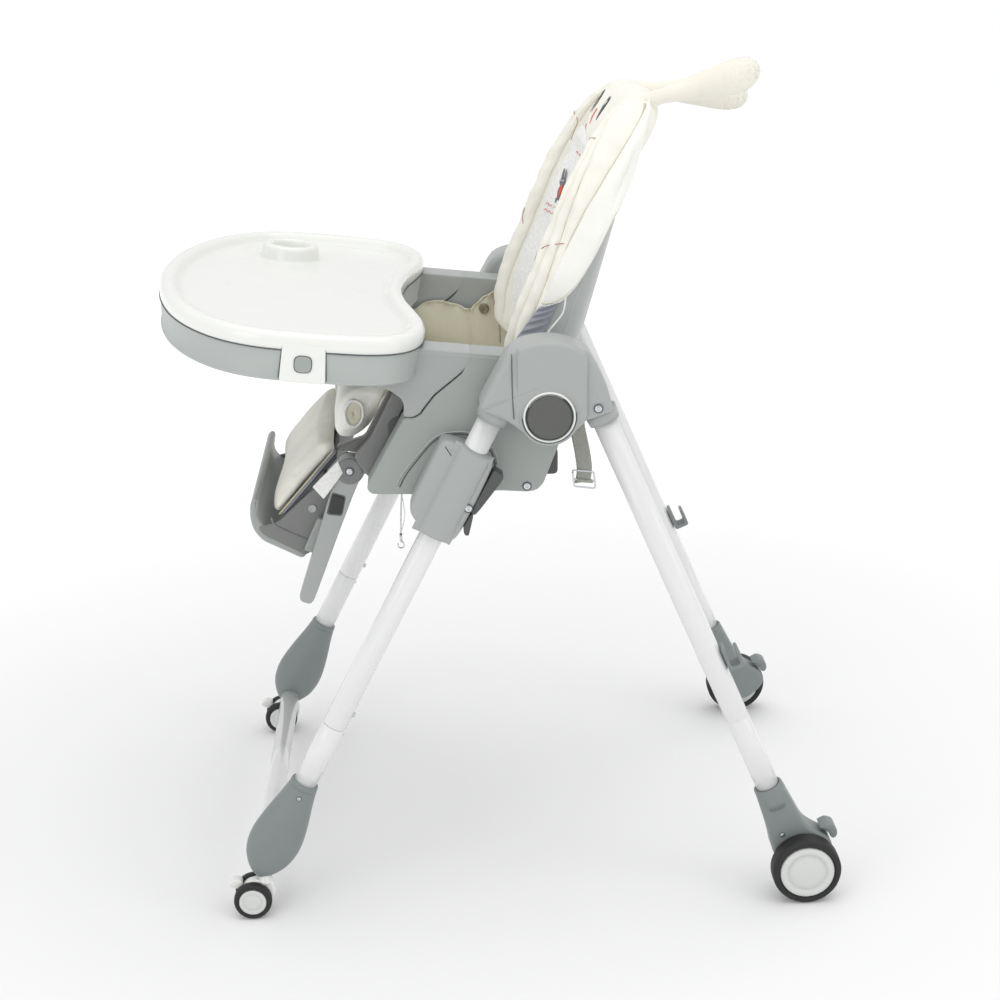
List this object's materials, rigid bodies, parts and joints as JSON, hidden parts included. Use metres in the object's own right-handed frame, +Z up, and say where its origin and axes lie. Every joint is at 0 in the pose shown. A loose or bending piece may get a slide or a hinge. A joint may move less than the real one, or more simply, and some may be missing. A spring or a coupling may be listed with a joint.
{
  "type": "baby high chair",
  "caption": "Folding padded baby high chair on an A-frame of round tubes, with a lift-off tray, reclining back, tilting leg rest, foot plate and rolling wheels.",
  "frame": {"origin": "on the floor, midway between the front of the tray and the back of the rear wheels, on the chair's middle plane", "axes": "+X towards the seated child's left, -Y the way the chair faces, +Z up"},
  "size_m": [0.611, 0.8602, 1.0285],
  "materials": {
    "white_paint": "gloss",
    "white_plastic": "gloss",
    "grey_plastic": "satin",
    "light_grey_plastic": "satin",
    "blue_grey_plastic": "satin",
    "dark_plastic": "satin",
    "black_tyre": "matte",
    "cream_cloth": "matte",
    "grey_webbing": "matte"
  },
  "bodies": {
    "front_frame": {"front_cross_tube": "white_paint", "front_leg_left": "white_paint", "front_lower_leg_left": "white_paint", "front_foot_left": "blue_grey_plastic", "hub_housing_left": "light_grey_plastic", "front_leg_right": "white_paint", "front_lower_leg_right": "white_paint", "front_foot_right": "blue_grey_plastic", "hub_housing_right": "light_grey_plastic"},
    "rear_frame_left": {"rear_hub_left": "light_grey_plastic", "rear_leg_left": "white_paint", "tray_hook_left": "blue_grey_plastic", "rear_foot_left": "blue_grey_plastic"},
    "fold_button_left": {"fold_button_left": "dark_plastic"},
    "rear_wheel_left": {"rear_tyre_left": "black_tyre", "rear_hubcap_left": "white_plastic"},
    "rear_brake_left": {"rear_brake_left": "blue_grey_plastic"},
    "caster_left": {"caster_fork_left": "white_plastic"},
    "caster_wheels_left": {"caster_wheel_left": "black_tyre"},
    "caster_brake_left": {"caster_brake_left": "white_plastic"},
    "rear_frame_right": {"rear_hub_right": "light_grey_plastic", "rear_leg_right": "white_paint", "tray_hook_right": "blue_grey_plastic", "rear_foot_right": "blue_grey_plastic"},
    "fold_button_right": {"fold_button_right": "dark_plastic"},
    "rear_wheel_right": {"rear_tyre_right": "black_tyre", "rear_hubcap_right": "white_plastic"},
    "rear_brake_right": {"rear_brake_right": "blue_grey_plastic"},
    "caster_right": {"caster_fork_right": "white_plastic"},
    "caster_wheels_right": {"caster_wheel_right": "black_tyre"},
    "caster_brake_right": {"caster_brake_right": "white_plastic"},
    "seat": {"seat_side_left": "grey_plastic", "arm_cover_left": "light_grey_plastic", "height_slider_left": "light_grey_plastic", "seat_side_right": "grey_plastic", "arm_cover_right": "light_grey_plastic", "height_slider_right": "light_grey_plastic", "seat_pan": "dark_plastic", "seat_cushion": "cream_cloth", "side_strap": "grey_webbing", "elastic_loop": "grey_webbing"},
    "height_lever_left": {"height_lever_left": "dark_plastic"},
    "height_lever_right": {"height_lever_right": "dark_plastic"},
    "back": {"back_shell": "light_grey_plastic", "back_cushion": "cream_cloth", "ear_left": "cream_cloth", "ear_right": "cream_cloth"},
    "recline_handle": {"recline_handle": "dark_plastic"},
    "legrest": {"legrest_arm_left": "light_grey_plastic", "legrest_arm_right": "light_grey_plastic", "calf_board": "dark_plastic", "calf_cushion": "cream_cloth"},
    "legrest_button_left": {"legrest_button_left": "dark_plastic"},
    "legrest_button_right": {"legrest_button_right": "dark_plastic"},
    "foot_plate": {"foot_plate": "grey_plastic"},
    "tray": {"tray_base": "grey_plastic", "crotch_post": "light_grey_plastic"},
    "tray_top": {"tray_top": "white_plastic"},
    "tray_button_left": {"tray_button_left": "grey_plastic"},
    "tray_button_right": {"tray_button_right": "grey_plastic"}
  },
  "joints": [
    {"name": "fold_left", "type": "hinge", "parent": "front_frame", "child": "rear_frame_left", "pos_m": [0.26, 0.0605, 0.6633], "axis": [-1, 0, 0], "range_deg": [0, 42]},
    {"name": "fold_press_left", "type": "slide", "parent": "front_frame", "child": "fold_button_left", "axis": [-1, 0, 0], "range_m": [0, 0.004], "stiffness_N_per_m": 600, "springref_m": -0.004},
    {"name": "rear_roll_left", "type": "hinge", "parent": "rear_frame_left", "child": "rear_wheel_left", "pos_m": [0.2916, 0.3855, 0.0445], "axis": [1, 0, 0], "continuous": true},
    {"name": "rear_brake_press_left", "type": "hinge", "parent": "rear_frame_left", "child": "rear_brake_left", "pos_m": [0.263, 0.4095, 0.088], "axis": [-1, 0, 0], "range_deg": [0, 6]},
    {"name": "swivel_left", "type": "hinge", "parent": "front_frame", "child": "caster_left", "pos_m": [0.2715, -0.311, 0.06], "axis": [0, 0, 1], "continuous": true},
    {"name": "caster_roll_left", "type": "hinge", "parent": "caster_left", "child": "caster_wheels_left", "pos_m": [0.2715, -0.327, 0.0245], "axis": [1, 0, 0], "continuous": true},
    {"name": "caster_brake_press_left", "type": "hinge", "parent": "caster_left", "child": "caster_brake_left", "pos_m": [0.2715, -0.3405, 0.044], "axis": [1, 0, 0], "range_deg": [0, 8]},
    {"name": "fold_right", "type": "hinge", "parent": "front_frame", "child": "rear_frame_right", "pos_m": [-0.26, 0.0605, 0.6633], "axis": [-1, 0, 0], "range_deg": [0, 42]},
    {"name": "fold_press_right", "type": "slide", "parent": "front_frame", "child": "fold_button_right", "axis": [1, 0, 0], "range_m": [0, 0.004], "stiffness_N_per_m": 600, "springref_m": -0.004},
    {"name": "rear_roll_right", "type": "hinge", "parent": "rear_frame_right", "child": "rear_wheel_right", "pos_m": [-0.2916, 0.3855, 0.0445], "axis": [1, 0, 0], "continuous": true},
    {"name": "rear_brake_press_right", "type": "hinge", "parent": "rear_frame_right", "child": "rear_brake_right", "pos_m": [-0.263, 0.4095, 0.088], "axis": [-1, 0, 0], "range_deg": [0, 6]},
    {"name": "swivel_right", "type": "hinge", "parent": "front_frame", "child": "caster_right", "pos_m": [-0.2715, -0.311, 0.06], "axis": [0, 0, 1], "continuous": true},
    {"name": "caster_roll_right", "type": "hinge", "parent": "caster_right", "child": "caster_wheels_right", "pos_m": [-0.2715, -0.327, 0.0245], "axis": [1, 0, 0], "continuous": true},
    {"name": "caster_brake_press_right", "type": "hinge", "parent": "caster_right", "child": "caster_brake_right", "pos_m": [-0.2715, -0.3405, 0.044], "axis": [1, 0, 0], "range_deg": [0, 8]},
    {"name": "seat_height", "type": "slide", "parent": "front_frame", "child": "seat", "axis": [0, -0.4618, -0.887], "range_m": [0, 0.18]},
    {"name": "lever_squeeze_left", "type": "hinge", "parent": "seat", "child": "height_lever_left", "pos_m": [0.263, -0.02754, 0.54087], "axis": [1, 0, 0], "range_deg": [0, 5], "stiffness_Nm_per_rad": 0.3, "springref_deg": -5.73},
    {"name": "lever_squeeze_right", "type": "hinge", "parent": "seat", "child": "height_lever_right", "pos_m": [-0.263, -0.02754, 0.54087], "axis": [1, 0, 0], "range_deg": [0, 5], "stiffness_Nm_per_rad": 0.3, "springref_deg": -5.73},
    {"name": "recline", "type": "hinge", "parent": "seat", "child": "back", "pos_m": [0, 0.075, 0.625], "axis": [-1, 0, 0], "range_deg": [0, 30]},
    {"name": "recline_release", "type": "slide", "parent": "back", "child": "recline_handle", "axis": [0, 0.2807, 0.9598], "range_m": [0, 0.005], "stiffness_N_per_m": 300, "springref_m": -0.004},
    {"name": "legrest_tilt", "type": "hinge", "parent": "seat", "child": "legrest", "pos_m": [0, -0.1823, 0.5653], "axis": [-1, 0, 0], "range_deg": [-15, 45]},
    {"name": "legrest_press_left", "type": "slide", "parent": "legrest", "child": "legrest_button_left", "axis": [-1, 0, 0], "range_m": [0, 0.003], "stiffness_N_per_m": 200, "springref_m": -0.003},
    {"name": "legrest_press_right", "type": "slide", "parent": "legrest", "child": "legrest_button_right", "axis": [1, 0, 0], "range_m": [0, 0.003], "stiffness_N_per_m": 200, "springref_m": -0.003},
    {"name": "foot_reach", "type": "slide", "parent": "legrest", "child": "foot_plate", "axis": [0, -0.3453, -0.9385], "range_m": [0, 0.05]},
    {"name": "tray_reach", "type": "slide", "parent": "seat", "child": "tray", "axis": [0, -0.9936, 0.1132], "range_m": [0, 0.07]},
    {"name": "tray_lift", "type": "slide", "parent": "tray", "child": "tray_top", "axis": [0, 0.1132, 0.9936], "range_m": [0, 0.06]},
    {"name": "tray_press_left", "type": "slide", "parent": "tray_top", "child": "tray_button_left", "axis": [-1, 0, 0], "range_m": [0, 0.003], "stiffness_N_per_m": 300, "springref_m": -0.003},
    {"name": "tray_press_right", "type": "slide", "parent": "tray_top", "child": "tray_button_right", "axis": [1, 0, 0], "range_m": [0, 0.003], "stiffness_N_per_m": 300, "springref_m": -0.003}
  ],
  "couplings": [
    {"joint": "fold_right", "follows": "fold_left", "ratio": 1}
  ]
}
